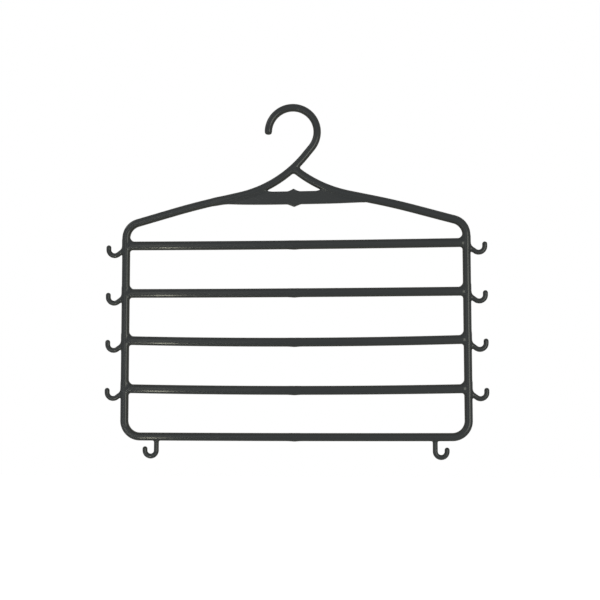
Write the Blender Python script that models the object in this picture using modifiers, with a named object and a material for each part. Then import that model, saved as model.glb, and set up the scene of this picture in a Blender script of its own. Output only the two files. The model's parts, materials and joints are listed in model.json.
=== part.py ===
"""A trouser hanger: a closet hook, four trouser bars, a bottom rail and ten small hooks.

The real hanger is one plastic moulding with no moving part. Each limb of the moulding is a
named object here, and a narrow seam keeps it off its neighbours. The limbs are drawn flat,
X across and Z up, and the front looks towards -Y. The origin is the point inside the closet
hook that rests on the wardrobe rail.
"""

import math

import bmesh
import bpy
from mathutils import Matrix, Vector
from mathutils.geometry import intersect_line_line_2d

MM = 0.001

# Frame
FRAME_WIDTH = 350 * MM  # outside the two uprights
FRAME_ROD = 8.0 * MM  # thickness of the shoulders, uprights and bottom rail
CORNER_RADIUS = 20 * MM  # outside of the four rounded corners
SEAM = 0.3 * MM  # clear gap between neighbouring limbs
SECTION_POWER = 2.6  # 2 is a true round section, more makes the faces flatter

# Closet hook and neck
HOOK_BORE = 42 * MM  # inside width of the closet hook
HOOK_ROD = 7.4 * MM
HOOK_SHIFT = 1.7 * MM  # the hook's centre stands this far left of the frame's middle
HOOK_TIP_ANGLE = math.radians(177)  # where the tip ends, from the right hand side over the top
HOOK_SIDE_ANGLE = math.radians(67)  # from here the hook runs on in a slightly wider bend
HOOK_SIDE_BEND = 25.5 * MM  # radius of the rod's axis in that wider bend
NECK_SLOPE = math.radians(50.6)
NECK_BEND = 117 * MM  # the long curve from the neck into the left shoulder

# Shoulders
PEAK_DROP = 74.1 * MM  # where the shoulders' inner lines would meet, below the rail seat
SHOULDER_SLOPE_INNER = math.radians(12.1)
SHOULDER_SLOPE_OUTER = math.radians(15.7)
SHOULDER_KNEE_IN = 73.9 * MM  # from the upright's outer face to where the two slopes meet
SHOULDER_CROWN = 730 * MM  # radius that blends the two slopes
ARM_RISE = 15.3 * MM  # the right arm's axis on the frame's middle, above the shoulders' peak
ARM_BEND = 128 * MM  # the right arm's long curve into the right shoulder

# Centre plate between the two arms
PLATE_THICKNESS = 5.0 * MM
PLATE_TOP_BELOW_PEAK = 8.1 * MM
PLATE_HEIGHT = 12.6 * MM
PLATE_REACH = 76 * MM  # from the frame's middle to the plate's thin ends
PLATE_END_RISE = 0.8 * MM  # the lower edge climbs this much towards the ends
PLATE_EDGE = 0.9 * MM
POINT_HEIGHT = 2.7 * MM  # the small points in the middle of the two edges
POINT_WIDTH = 14 * MM

# Trouser bars and bottom rail
BAR_HEIGHT = 8.8 * MM
BAR_PITCH = 48.0 * MM
FIRST_BAR_DROP = 20.2 * MM  # from the upper corner's meeting point to the first bar's axis
RAIL_PITCH = 47.4 * MM  # from the fourth bar's axis down to the bottom rail's
BAR_SAGS = (0.6 * MM, 0.4 * MM, 2.1 * MM, 1.9 * MM)  # how far the middle of each bar hangs
RAIL_SAG = 0.5 * MM
FILLET_ABOVE = 4.8 * MM
FILLET_BELOW = 2.6 * MM

# Small hooks
SIDE_HOOK_ROD = 5.0 * MM
SIDE_HOOK_BEND = 6.1 * MM  # radius of the rod's axis round the bottom of the hook
SIDE_HOOK_OUT = 7.8 * MM  # from the upright's outer face to the middle of that bend
SIDE_HOOK_DROP = 3.7 * MM  # from the bar's axis down to the middle of that bend
SIDE_HOOK_SLOPE = math.radians(36.3)
SIDE_HOOK_RISE = 2.1 * MM  # straight rod between the bend and the round tip
BOTTOM_HOOK_ROD = 5.1 * MM
BOTTOM_HOOK_BEND = 5.75 * MM
BOTTOM_HOOK_FROM_EDGE = 36.8 * MM  # from the upright's outer face in to the stem
BOTTOM_HOOK_DROP = 14.1 * MM  # from the rail's axis down to the middle of the bend
BOTTOM_HOOK_RISE = 1.5 * MM
ROOT_FLARE = 0.9 * MM  # how much wider a small hook is where it leaves the frame
ROOT_LENGTH = 2.2 * MM

# Facets
ROD_SIDES = 20
SMALL_ROD_SIDES = 12
BEND_STEP = math.radians(9.2)
ARM_STEP = math.radians(3.5)
SMALL_BEND_STEP = math.radians(21)
SAG_STEPS = 4  # lengths from an upright to the middle of a bar
WELD = 0.001 * MM

# Satin black moulded plastic
PLASTIC_COLOUR = (0.040, 0.043, 0.042, 1.0)
PLASTIC_ROUGHNESS = 0.42


def on_circle(centre, radius, angle):
    return centre + radius * Vector((math.cos(angle), math.sin(angle)))


def heading(angle):
    return Vector((math.cos(angle), math.sin(angle)))


def meeting_point(a, a_heading, b, b_heading):
    """Where the line through a crosses the line through b."""
    spread = a_heading.x * b_heading.y - a_heading.y * b_heading.x
    gap = b - a
    return a + a_heading * ((gap.x * b_heading.y - gap.y * b_heading.x) / spread)


def arc(centre, radius, first, last, step):
    steps = max(2, math.ceil(abs(last - first) / step))
    return [on_circle(centre, radius, first + (last - first) * i / steps) for i in range(steps + 1)]


def bend(before, corner, after, radius, step):
    """Points of the arc that rounds one corner of a line, within its two straights."""
    towards = (corner - before).normalized()
    away = (after - corner).normalized()
    turn = math.atan2(towards.x * away.y - towards.y * away.x, towards.dot(away))
    room = min((corner - before).length, (after - corner).length)
    radius = min(radius, room / math.tan(abs(turn) / 2))
    start = corner - towards * radius * math.tan(abs(turn) / 2)
    left_normal = Vector((-towards.y, towards.x))
    centre = start + left_normal * math.copysign(radius, turn)
    first = math.atan2(start.y - centre.y, start.x - centre.x)
    return arc(centre, radius, first, first + turn, step)


def height_at(points, x):
    """Height of a path that runs steadily across, at the place x."""
    for a, b in zip(points, points[1:]):
        if min(a.x, b.x) <= x <= max(a.x, b.x) and a.x != b.x:
            return a.y + (b.y - a.y) * (x - a.x) / (b.x - a.x)
    raise ValueError("the path does not reach that far across")


def from_crossing(line, other):
    """The part of a line that runs on from where it crosses another line."""
    for i in range(len(line) - 1):
        for a, b in zip(other, other[1:]):
            meeting = intersect_line_line_2d(line[i], line[i + 1], a, b)
            if meeting:
                rest = [point for point in line[i + 1 :] if (point - meeting).length > MM]
                return [meeting] + rest
    raise ValueError("the two lines do not cross")


def mirrored(points):
    return [Vector((-point.x, point.y)) for point in points]


def section_points(width, height, sides):
    """A rounded section, flatter on its faces than a circle."""
    points = []
    for i in range(sides):
        angle = 2 * math.pi * i / sides
        across, up = math.cos(angle), math.sin(angle)
        reach = (abs(across) ** SECTION_POWER + abs(up) ** SECTION_POWER) ** (-1 / SECTION_POWER)
        points.append(Vector((width / 2 * across * reach, height / 2 * up * reach)))
    return points


def empty_scene():
    for obj in list(bpy.data.objects):
        bpy.data.objects.remove(obj, do_unlink=True)


def new_collection(name):
    collection = bpy.data.collections.new(name)
    bpy.context.scene.collection.children.link(collection)
    return collection


def plastic(name):
    material = bpy.data.materials.new(name + "_plastic")
    material.use_nodes = True
    shader = material.node_tree.nodes["Principled BSDF"]
    shader.inputs["Base Color"].default_value = PLASTIC_COLOUR
    shader.inputs["Roughness"].default_value = PLASTIC_ROUGHNESS
    shader.inputs["Metallic"].default_value = 0.0
    return material


def unit_section(name, sides):
    """A closed profile one metre across, which a rod's own thickness scales."""
    curve = bpy.data.curves.new(name, "CURVE")
    curve.dimensions = "2D"
    spline = curve.splines.new("POLY")
    outline = section_points(1.0, 1.0, sides)
    spline.points.add(len(outline) - 1)
    for point, place in zip(spline.points, outline):
        point.co = (place.x, place.y, 0, 1)
    spline.use_cyclic_u = True
    profile = bpy.data.objects.new(name, curve)
    profile.hide_render = True
    profile.display_type = "WIRE"
    guides.objects.link(profile)
    return profile


def flat_curve(name, points, closed=False, thickness=None):
    """A curve in the drawing plane, stood upright so that its second axis is Z."""
    curve = bpy.data.curves.new(name, "CURVE")
    curve.dimensions = "2D"
    spline = curve.splines.new("POLY")
    spline.points.add(len(points) - 1)
    for i, place in enumerate(points):
        spline.points[i].co = (place.x, place.y, 0, 1)
        spline.points[i].radius = thickness[i] if thickness else 1.0
    spline.use_cyclic_u = closed
    obj = bpy.data.objects.new(name, curve)
    obj.rotation_euler = (math.pi / 2, 0, 0)
    guides.objects.link(obj)
    return obj


def finished_mesh(curve_object, name):
    """Turns a curve into a welded mesh object of that name, under the hanger's empty."""
    bpy.context.view_layer.update()
    graph = bpy.context.evaluated_depsgraph_get()
    mesh = bpy.data.meshes.new_from_object(curve_object.evaluated_get(graph))
    place = curve_object.matrix_world.copy()
    bpy.data.objects.remove(curve_object, do_unlink=True)
    shape = bmesh.new()
    shape.from_mesh(mesh)
    bmesh.ops.remove_doubles(shape, verts=shape.verts, dist=WELD)
    bmesh.ops.recalc_face_normals(shape, faces=shape.faces)
    shape.to_mesh(mesh)
    shape.free()
    return placed(name, mesh, place)


def placed(name, mesh, place):
    mesh.name = name
    mesh.materials.clear()
    mesh.materials.append(plastic(name))
    mesh.shade_smooth()
    mesh.set_sharp_from_angle(angle=math.radians(40))
    obj = bpy.data.objects.new(name, mesh)
    hanger.objects.link(obj)
    obj.parent = middle
    obj.matrix_basis = place
    return obj


def rod(name, points, thickness, section):
    """A rod along the points. The thickness is one value or one for each point."""
    widths = thickness if isinstance(thickness, list) else [thickness] * len(points)
    curve_object = flat_curve("rod_line", points, thickness=widths)
    curve_object.data.bevel_mode = "OBJECT"
    curve_object.data.bevel_object = section
    curve_object.data.use_fill_caps = True
    return finished_mesh(curve_object, name)


def make_cutter(obj):
    hanger.objects.unlink(obj)
    guides.objects.link(obj)
    obj.hide_render = True
    obj.display_type = "WIRE"
    return obj


def cut(obj, *cutters):
    for cutter in cutters:
        boolean = obj.modifiers.new("clear_" + cutter.name, "BOOLEAN")
        boolean.operation = "DIFFERENCE"
        boolean.object = cutter


def round_tip(end, direction, thickness):
    """Points and widths that close a rod's end with a half ball."""
    points, widths = [], []
    for angle in (25, 50, 70, 84):
        lift = math.radians(angle)
        points.append(end + direction * (thickness / 2) * math.sin(lift))
        widths.append(thickness * math.cos(lift))
    return points, widths


# Lines of the frame, in the drawing plane
upright_x = (FRAME_WIDTH - FRAME_ROD) / 2
corner_bend = CORNER_RADIUS - FRAME_ROD / 2
peak = Vector((0, -PEAK_DROP))
inner_heading = heading(math.pi + SHOULDER_SLOPE_INNER)
outer_heading = heading(math.pi + SHOULDER_SLOPE_OUTER)
above_knee = Vector((SHOULDER_KNEE_IN - FRAME_WIDTH / 2, 0))
left_knee = meeting_point(peak, inner_heading, above_knee, Vector((0, 1)))
upper_corner = meeting_point(left_knee, outer_heading, Vector((-upright_x, 0)), Vector((0, 1)))
first_bar_z = upper_corner.y - FIRST_BAR_DROP
bar_heights = [first_bar_z - i * BAR_PITCH for i in range(len(BAR_SAGS))]
rail_z = bar_heights[-1] - RAIL_PITCH
lower_corner = Vector((-upright_x, rail_z))
corner_turn = math.pi / 2 - SHOULDER_SLOPE_OUTER
upright_top = upper_corner.y - corner_bend * math.tan(corner_turn / 2) - SEAM
upright_bottom = rail_z + corner_bend + SEAM

# The closet hook's two arcs and the neck below them
hook_bend = (HOOK_BORE + HOOK_ROD) / 2
hook_centre = Vector((-HOOK_SHIFT, -HOOK_BORE / 2))
side_centre = hook_centre + heading(HOOK_SIDE_ANGLE) * (hook_bend - HOOK_SIDE_BEND)
neck_heading = heading(math.pi + NECK_SLOPE)
neck_start = on_circle(side_centre, HOOK_SIDE_BEND, NECK_SLOPE - math.pi / 2)
neck_corner = meeting_point(neck_start, neck_heading, peak, inner_heading)


def outer_shoulder(inner_points):
    """Runs an arm on over the shoulder's knee and corner to the seam, on the left side."""
    end = Vector((-upright_x, upright_top))
    knee = bend(inner_points[-1], left_knee, upper_corner, SHOULDER_CROWN, BEND_STEP)
    return inner_points + knee + bend(knee[-1], upper_corner, end, corner_bend, BEND_STEP) + [end]


def arm_line():
    """The right arm, drawn on the left: an arc that runs out into the shoulder's inner line."""
    up = heading(math.pi / 2 + SHOULDER_SLOPE_INNER)
    rise = ARM_RISE * math.cos(SHOULDER_SLOPE_INNER)
    reach = math.sqrt(2 * ARM_BEND * rise - rise**2) - ARM_RISE * math.sin(SHOULDER_SLOPE_INNER)
    centre = peak + inner_heading * reach + up * ARM_BEND
    to_middle = peak + Vector((0, ARM_RISE)) - centre
    past_neck = 2 * HOOK_ROD / ARM_BEND
    first = math.atan2(to_middle.y, to_middle.x) + past_neck
    return arc(centre, ARM_BEND, first, SHOULDER_SLOPE_INNER - math.pi / 2, ARM_STEP)


def rail_line():
    """The bottom rail with its two rounded corners, and its slight sag between them."""
    left_end = Vector((-upright_x, upright_bottom - SEAM))
    left = bend(left_end, lower_corner, Vector((0, rail_z)), corner_bend, BEND_STEP)
    half = -left[-1].x
    straight = []
    for i in range(1, 2 * SAG_STEPS):
        x = half * (i / SAG_STEPS - 1)
        straight.append(Vector((x, rail_z - RAIL_SAG * (1 - (x / half) ** 2))))
    return left + straight + mirrored(left)[::-1]


def shoulder_widths(inner_count, count):
    """The hook's thickness grows into the frame's along the inner part of a shoulder."""
    growth = [min(1.0, i / (inner_count - 1)) for i in range(count)]
    return [HOOK_ROD + (FRAME_ROD - HOOK_ROD) * share for share in growth]


neck_top = neck_start + neck_heading * SEAM
neck_line = [neck_top] + bend(neck_top, neck_corner, left_knee, NECK_BEND, BEND_STEP)
left_shoulder_line = outer_shoulder(neck_line)
left_shoulder_widths = shoulder_widths(len(neck_line), len(left_shoulder_line))
right_arm_line = from_crossing(mirrored(arm_line()), left_shoulder_line)
right_shoulder_line = mirrored(outer_shoulder(mirrored(right_arm_line)))
right_shoulder_widths = shoulder_widths(len(right_arm_line), len(right_shoulder_line))
left_upright_line = [Vector((-upright_x, upright_top - SEAM)), Vector((-upright_x, upright_bottom))]
rail_points = rail_line()


def closet_hook():
    upper = arc(hook_centre, hook_bend, HOOK_TIP_ANGLE, HOOK_SIDE_ANGLE, BEND_STEP)
    lower = arc(side_centre, HOOK_SIDE_BEND, HOOK_SIDE_ANGLE, NECK_SLOPE - math.pi / 2, BEND_STEP)
    line = upper + lower[1:]
    down = heading(HOOK_TIP_ANGLE + math.pi / 2)
    tip, tip_widths = round_tip(line[0], down, HOOK_ROD)
    rod("closet_hook", tip[::-1] + line, tip_widths[::-1] + [HOOK_ROD] * len(line), rod_section)


def trouser_bar(number, height, sag):
    """A bar as deep as the frame, whose ends flare into the uprights."""
    face = upright_x - FRAME_ROD / 2
    flare = []
    for angle in range(0, 91, 15):
        flare.append(FILLET_ABOVE * (1 - math.cos(math.radians(angle))))
    distances = [-FRAME_ROD / 2] + flare
    middle_places = [face * i / SAG_STEPS for i in range(SAG_STEPS - 1, 0, -1)]
    half = [face - distance for distance in distances] + middle_places
    places = [-x for x in half] + [0.0] + half[::-1]
    shape = bmesh.new()
    rings = []
    for x in places:
        top = BAR_HEIGHT / 2 + fillet_height(face - abs(x), FILLET_ABOVE)
        bottom = BAR_HEIGHT / 2 + fillet_height(face - abs(x), FILLET_BELOW)
        centre = height - sag * (1 - min(1, abs(x) / face) ** 2) + (top - bottom) / 2
        ring = []
        for point in section_points(FRAME_ROD, top + bottom, ROD_SIDES):
            ring.append(shape.verts.new((x, point.x, centre + point.y)))
        rings.append(ring)
    for ring, following in zip(rings, rings[1:]):
        for i in range(ROD_SIDES):
            j = (i + 1) % ROD_SIDES
            shape.faces.new((ring[i], ring[j], following[j], following[i]))
    shape.faces.new(rings[0])
    shape.faces.new(rings[-1])
    bmesh.ops.recalc_face_normals(shape, faces=shape.faces)
    name = f"trouser_bar_{number}"
    mesh = bpy.data.meshes.new(name)
    shape.to_mesh(mesh)
    shape.free()
    bar = placed(name, mesh, Matrix.Identity(4))
    cut(bar, left_clearance, right_clearance)


def fillet_height(distance, radius):
    """Height of a quarter round fillet at that distance from the upright's face."""
    if distance >= radius:
        return 0.0
    inside = radius - max(0.0, distance)
    return radius - math.sqrt(radius**2 - inside**2)


def small_hook(name, path, thickness, clearance):
    """A J-shaped hook that flares at its root and ends in a round tip."""
    end = path[-1]
    tip, tip_widths = round_tip(end, (end - path[-2]).normalized(), thickness)
    root = path[0]
    flared = root + (path[1] - root).normalized() * (FRAME_ROD / 2)
    plain = flared + (path[1] - root).normalized() * ROOT_LENGTH
    points = [root, flared, plain] + path[1:] + tip
    wide = thickness + 2 * ROOT_FLARE
    widths = [wide, wide] + [thickness] * len(path) + tip_widths
    hook = rod(name, points, widths, small_section)
    cut(hook, clearance)


def side_hook_path(bar_z):
    """Left side hook: out and down from the upright, round the bend and up."""
    centre = Vector((-FRAME_WIDTH / 2 - SIDE_HOOK_OUT, bar_z - SIDE_HOOK_DROP))
    first = SIDE_HOOK_SLOPE - math.pi / 2
    curve = arc(centre, SIDE_HOOK_BEND, first, -math.pi, SMALL_BEND_STEP)
    back = heading(SIDE_HOOK_SLOPE)
    root = curve[0] + back * (-upright_x - curve[0].x) / back.x
    return [root] + curve + [curve[-1] + Vector((0, SIDE_HOOK_RISE))]


def bottom_hook_path():
    """Left bottom hook: down from the rail, round the bend and up on its outer side."""
    stem_x = -FRAME_WIDTH / 2 + BOTTOM_HOOK_FROM_EDGE
    centre = Vector((stem_x - BOTTOM_HOOK_BEND, rail_z - BOTTOM_HOOK_DROP))
    curve = arc(centre, BOTTOM_HOOK_BEND, 0.0, -math.pi, SMALL_BEND_STEP)
    root = Vector((stem_x, height_at(rail_points, stem_x)))
    return [root] + curve + [curve[-1] + Vector((0, BOTTOM_HOOK_RISE))]


def centre_plate():
    """The flat web between the two arms, with a small point in the middle of each edge."""
    places = [PLATE_REACH * i / 12 for i in range(-12, 13) if i]
    places += [POINT_WIDTH / 2 * i / 6 for i in range(-6, 7)]
    places = sorted(places)
    plate_top = peak.y - PLATE_TOP_BELOW_PEAK
    lower, upper = [], []
    for x in places:
        point = POINT_HEIGHT * max(0.0, 1 - abs(x) / (POINT_WIDTH / 2)) ** 2
        rise = PLATE_END_RISE * (x / PLATE_REACH) ** 2
        arm = left_shoulder_line if x < 0 else right_shoulder_line
        top = plate_top + point
        lower.append(Vector((x, plate_top - PLATE_HEIGHT + rise - point)))
        if abs(x) > POINT_WIDTH:
            top = min(top, height_at(arm, x))
        upper.append(Vector((x, top)))
    outline = flat_curve("plate_outline", lower + upper[::-1], closed=True)
    outline.data.fill_mode = "BOTH"
    outline.data.extrude = PLATE_THICKNESS / 2
    plate = finished_mesh(outline, "centre_plate")
    edge = plate.modifiers.new("rounded_edges", "BEVEL")
    edge.width = PLATE_EDGE
    edge.segments = 2
    edge.limit_method = "ANGLE"
    edge.angle_limit = math.radians(60)
    cut(plate, left_clearance, right_clearance)


empty_scene()
hanger = new_collection("trouser_hanger")
guides = new_collection("cutters")
guides.hide_render = True
middle = bpy.data.objects.new("frame_middle", None)
middle.location = (HOOK_SHIFT, 0, 0)
hanger.objects.link(middle)
rod_section = unit_section("rod_section", ROD_SIDES)
small_section = unit_section("small_rod_section", SMALL_ROD_SIDES)

below = left_upright_line + rail_points[: len(rail_points) // 2 + 1]
left_side = left_shoulder_line + below
right_side = right_shoulder_line + mirrored(below)
clearances = []
for name, line, widths in (
    ("left_clearance", left_side, left_shoulder_widths),
    ("right_clearance", right_side, right_shoulder_widths),
):
    clear_widths = [width + 2 * SEAM for width in widths + [FRAME_ROD] * len(below)]
    clearances.append(make_cutter(rod(name, line, clear_widths, rod_section)))
left_clearance, right_clearance = clearances

closet_hook()
rod("left_shoulder", left_shoulder_line, left_shoulder_widths, rod_section)
right_shoulder = rod("right_shoulder", right_shoulder_line, right_shoulder_widths, rod_section)
cut(right_shoulder, left_clearance)
rod("left_upright", left_upright_line, FRAME_ROD, rod_section)
rod("right_upright", mirrored(left_upright_line), FRAME_ROD, rod_section)
rod("bottom_rail", rail_points, FRAME_ROD, rod_section)
centre_plate()
for index, (bar_height, bar_sag) in enumerate(zip(bar_heights, BAR_SAGS)):
    trouser_bar(index + 1, bar_height, bar_sag)
    hook_path = side_hook_path(bar_height)
    small_hook(f"left_side_hook_{index + 1}", hook_path, SIDE_HOOK_ROD, left_clearance)
    small_hook(f"right_side_hook_{index + 1}", mirrored(hook_path), SIDE_HOOK_ROD, right_clearance)
bottom_path = bottom_hook_path()
small_hook("left_bottom_hook", bottom_path, BOTTOM_HOOK_ROD, left_clearance)
small_hook("right_bottom_hook", mirrored(bottom_path), BOTTOM_HOOK_ROD, right_clearance)
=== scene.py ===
import json
import math

import bmesh
import bpy
from mathutils import Matrix, Vector
from mathutils.geometry import intersect_line_line_2d

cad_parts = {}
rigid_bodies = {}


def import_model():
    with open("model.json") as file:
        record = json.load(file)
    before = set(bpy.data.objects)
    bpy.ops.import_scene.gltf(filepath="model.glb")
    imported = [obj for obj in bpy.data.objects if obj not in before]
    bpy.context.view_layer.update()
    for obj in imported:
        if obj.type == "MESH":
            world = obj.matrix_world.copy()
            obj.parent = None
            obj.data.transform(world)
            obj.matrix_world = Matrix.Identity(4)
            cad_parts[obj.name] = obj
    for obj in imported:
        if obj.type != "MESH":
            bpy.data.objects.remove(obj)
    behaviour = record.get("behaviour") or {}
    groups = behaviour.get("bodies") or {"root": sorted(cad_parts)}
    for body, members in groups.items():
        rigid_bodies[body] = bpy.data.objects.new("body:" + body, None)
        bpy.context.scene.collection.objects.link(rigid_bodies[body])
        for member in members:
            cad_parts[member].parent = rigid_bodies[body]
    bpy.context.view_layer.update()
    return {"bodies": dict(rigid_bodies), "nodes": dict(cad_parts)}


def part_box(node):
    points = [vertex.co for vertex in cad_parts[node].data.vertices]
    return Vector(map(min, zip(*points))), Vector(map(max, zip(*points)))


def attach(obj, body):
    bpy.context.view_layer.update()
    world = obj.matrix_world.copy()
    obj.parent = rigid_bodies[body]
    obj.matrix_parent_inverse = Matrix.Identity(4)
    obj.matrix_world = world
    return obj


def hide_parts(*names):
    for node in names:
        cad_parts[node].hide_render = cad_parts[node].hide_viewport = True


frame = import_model()
cad_corners = [corner for node in frame["nodes"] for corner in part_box(node)]
lowest = Vector([min(corner[axis] for corner in cad_corners) for axis in range(3)])
highest = Vector([max(corner[axis] for corner in cad_corners) for axis in range(3)])

MM = 0.001

# The moulding is drawn flat: x runs to the right from the frame's middle, and the
# drawing's y is the height above the point that rests on the wardrobe rail.

# Frame
FRAME_WIDTH = 350 * MM
FRAME_ROD = 8.0 * MM
FRAME_DEPTH = 7.96 * MM
CORNER_RADIUS = 20 * MM
ROD_FLATNESS = 2.25  # power of the section's superellipse, where 2 is round

# Closet hook and neck
HOOK_DROP = 21 * MM  # from the rail seat down to the middle of the hook's bend
HOOK_SHIFT = 1.7 * MM  # the rail seat lies this far left of the frame's middle
HOOK_BEND = 24.48 * MM
HOOK_ROD = 7.58 * MM
HOOK_TIP_ANGLE = math.radians(177)
HOOK_SIDE_ANGLE = math.radians(67)  # from here down its right side the bend is wider
HOOK_SIDE_BEND = 25.3 * MM
NECK_SLOPE = math.radians(50.6)
NECK_BEND = 117 * MM
NECK_THICKENS = (-38 * MM, -90 * MM)  # between these heights, from hook rod to frame rod
TIP_REACH = 4.0 * MM  # from the end of the hook's bend to the flat face of its tip
TIP_ROUNDING = 5.3 * MM
TIP_ZONE = 16 * MM  # nothing farther from the tip is cut off with it

# Shoulders
PEAK_DROP = 74.25 * MM  # down to where the lines of both shoulders would meet
SHOULDER_SLOPE_INNER = math.radians(12.1)
SHOULDER_SLOPE_OUTER = math.radians(15.7)
SHOULDER_KNEE_IN = 73.9 * MM  # from the frame's side to the middle of the shoulder's knee
SHOULDER_CROWN = 730 * MM  # radius of the knee
RIGHT_SHOULDER_ROD = 8.4 * MM
RIGHT_SHOULDER_DROP = 0.22 * MM
RIGHT_SHOULDER_GROWS = (-64 * MM, -92 * MM)  # between these heights it gets stouter
RIGHT_SHOULDER_SHRINKS = (-112 * MM, -124 * MM)
ARM_RISE = 15.3 * MM  # of the right arm's arc over the peak, at the frame's middle
ARM_BEND = 128 * MM
CROTCH_BLEND = 4.1 * MM
CROTCH_FADES = (8 * MM, 20 * MM)  # its blend fades out between these distances from it

# Centre plate
PLATE_THICKNESS = 5.0 * MM
PLATE_TOP_BELOW_PEAK = 7.95 * MM
PLATE_HEIGHT = 12.9 * MM
PLATE_LEFT_REACH = 80 * MM
PLATE_RIGHT_REACH = 70 * MM
PLATE_LEFT_RISE = 1.4 * MM  # of its lower edge, as far out as its right end
PLATE_RIGHT_RISE = 1.05 * MM
PLATE_TILT = 0.004  # it rises a little to the right
PLATE_TIP_HEIGHT = 0.1 * MM
PLATE_EDGE = 1.0 * MM  # rounding of its edges
PLATE_BLEND = 2.6 * MM
PLATE_LEFT_BLEND = 6.5 * MM
PLATE_LEFT_END = (-78 * MM, -66 * MM)  # the softer blend fades out between these places
WINDOW_LEFT = -26.7 * MM
WINDOW_RIGHT = 25.3 * MM
WINDOW_CORNER_LIFT = 0.8 * MM
WINDOW_CORNER_REACH = 4.5 * MM
POINT_HEIGHT = 2.6 * MM
POINT_WIDTH = 13.6 * MM
UPPER_POINT_SHIFT = -0.6 * MM
UPPER_POINT_HOLLOW = 1.6  # power of the point's flanks, where 1 is straight
LOWER_POINT_SHIFT = -0.2 * MM
LOWER_POINT_HOLLOW = 1.1
LOZENGE_HEIGHT = 6.4 * MM
LOZENGE_PROUD = 0.15 * MM
LOZENGE_EDGE = (0.9, 1.05)  # it falls away between these shares of its half size

# Trouser bars and bottom rail
BAR_HEIGHT = 8.9 * MM
BAR_FLATNESS = 2.6
BAR_PITCH = 48.0 * MM
FIRST_BAR_DROP = 20.05 * MM  # below the corners where shoulders and uprights would meet
RAIL_PITCH = 47.4 * MM
BAR_SAGS = (0.6 * MM, 0.4 * MM, 2.1 * MM, 1.65 * MM)
BAR_SHIFTS = (0, -0.35 * MM, 0, -0.25 * MM)  # the second and fourth sit a little low
BAR_END_GAP = 1.2 * MM  # a bar's line stops this far from the upright's edge
RAIL_SAG = 0.3 * MM
RAIL_DROP_LEFT = 0.45 * MM
MIDDLE_SWELL = 0.22 * MM  # the moulding's feed mark under the middle of each bar
SWELL_REACH = 8 * MM
FILLET_ABOVE = 4.8 * MM
FILLET_BELOW = 2.6 * MM
FILLET_CHANGE = 3 * MM  # one fillet gives way to the other this near to the bar's line
FILLET_EDGE = (-1.8 * MM, 1.2 * MM)  # it takes over between these distances from the outline
SECTION_CHANGE = 1 * MM  # the bar's section gives way to the rod's within this
JUNCTION_BLEND = 2.0 * MM  # softens the valley where a bar's crown meets the upright's

# Small hooks
SIDE_HOOK_ROD = 4.98 * MM
SIDE_HOOK_BEND = 6.1 * MM
SIDE_HOOK_OUT = 7.8 * MM  # from the upright's outer edge to the middle of the hook's bend
SIDE_HOOK_DROP = 3.7 * MM  # from its bar's line down to there
SIDE_HOOK_SLOPE = math.radians(36.3)
SIDE_HOOK_RISE = 2.1 * MM  # the tip runs this far straight up
SIDE_ROOT_OUT = 1.3 * MM  # the root runs down inside the upright, this far out from its axis
SIDE_ROOT_BEND = 9 * MM
BOTTOM_HOOK_ROD = 4.9 * MM
BOTTOM_HOOK_BEND = 5.75 * MM
BOTTOM_HOOK_FROM_EDGE = 36.8 * MM
BOTTOM_HOOK_DROP = 14.1 * MM  # from the rail's line down to the middle of the hook's bend
BOTTOM_HOOK_RISE = 1.5 * MM
ROOT_BLEND = 2.4 * MM

# Drawn lines and skin
POINT_GAP = 1.0 * MM  # between the points of a bend
SAG_STEPS = 160
PLATE_STEPS = 120
POINT_STEPS = 14
GRID_STEP = 0.65 * MM  # of the grid that the skin is drawn on
GRID_MARGIN = 2.5 * GRID_STEP
SMOOTHING = 6  # rounds of blur each time that the skin's points are spread evenly
EDGE_SHARE = "edge_share"  # 0 where the skin faces front or back, 1 along the outline
CUT_PAST_FILLET = 1.5 * MM  # from the end of a bar's upper fillet to the cut
CUT_TOLERANCE = 1e-7

# Satin black plastic, with patterns counted per metre
BODY_COLOUR = (0.0245, 0.0290, 0.0340, 1)
# Lighter and warmer than the body: along the outline this is partly wear and partly a painted sheen
WEAR_AND_SHEEN_COLOUR = (0.0370, 0.0355, 0.0210, 1)
PATCH_COUNT = 60
STREAK_COUNT = 420
GRAIN_COUNT = 1800
NOISE_RANGE = (0.3, 0.7)  # most values of a noise lie between these
WEAR_AND_SHEEN_RANGE = (0.05, 0.65)  # edge shares between which the plastic gets worn and takes a painted sheen
WEAR_AND_SHEEN_LEAST = 0.7  # the streaks vary the wear and the painted sheen between this share and all of it
ROUGHNESS_RANGE = (0.34, 0.46)
WORN_ROUGHNESS = 0.12  # added where it is worn
PLASTIC_IOR = 1.4
COAT_WEIGHT = 0.8
WORN_COAT_LOSS = 0.4
COAT_ROUGHNESS = 0.12
COAT_IOR = 1.49
GRAIN_STRENGTH = 0.15
GRAIN_DEPTH = 0.04 * MM

# Studio, in metres
SURROUNDINGS = (0.390, 0.396, 0.386, 1)
WHITE = (1, 1, 1, 1)
HANGER_MIDDLE = (0, 0, -0.17)
FLOOR_REACH = 6.0
FLOOR_HEIGHT = -1.0
FLOOR_COLOUR = (0.9, 0.9, 0.9, 1)
FLOOR_GLOW = 0.75  # brings the floor up to the white of the surroundings, for the camera alone
CAMERA_PLACE = (0.0799, -0.993, -0.2624)
CAMERA_TURN = math.radians(4.175)
CAMERA_LIFT = math.radians(4.063)
CAMERA_LEAN = math.radians(0.068)
LENS_MM = 60
SENSOR_MM = 36


def heading(angle):
    """The unit direction at an angle from the drawing's x axis."""
    return Vector((math.cos(angle), math.sin(angle)))


def on_circle(centre, radius, angle):
    return centre + radius * heading(angle)


def meeting_point(a, a_heading, b, b_heading):
    """Where the line through a crosses the line through b."""
    spread = a_heading.x * b_heading.y - a_heading.y * b_heading.x
    gap = b - a
    return a + a_heading * ((gap.x * b_heading.y - gap.y * b_heading.x) / spread)


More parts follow.
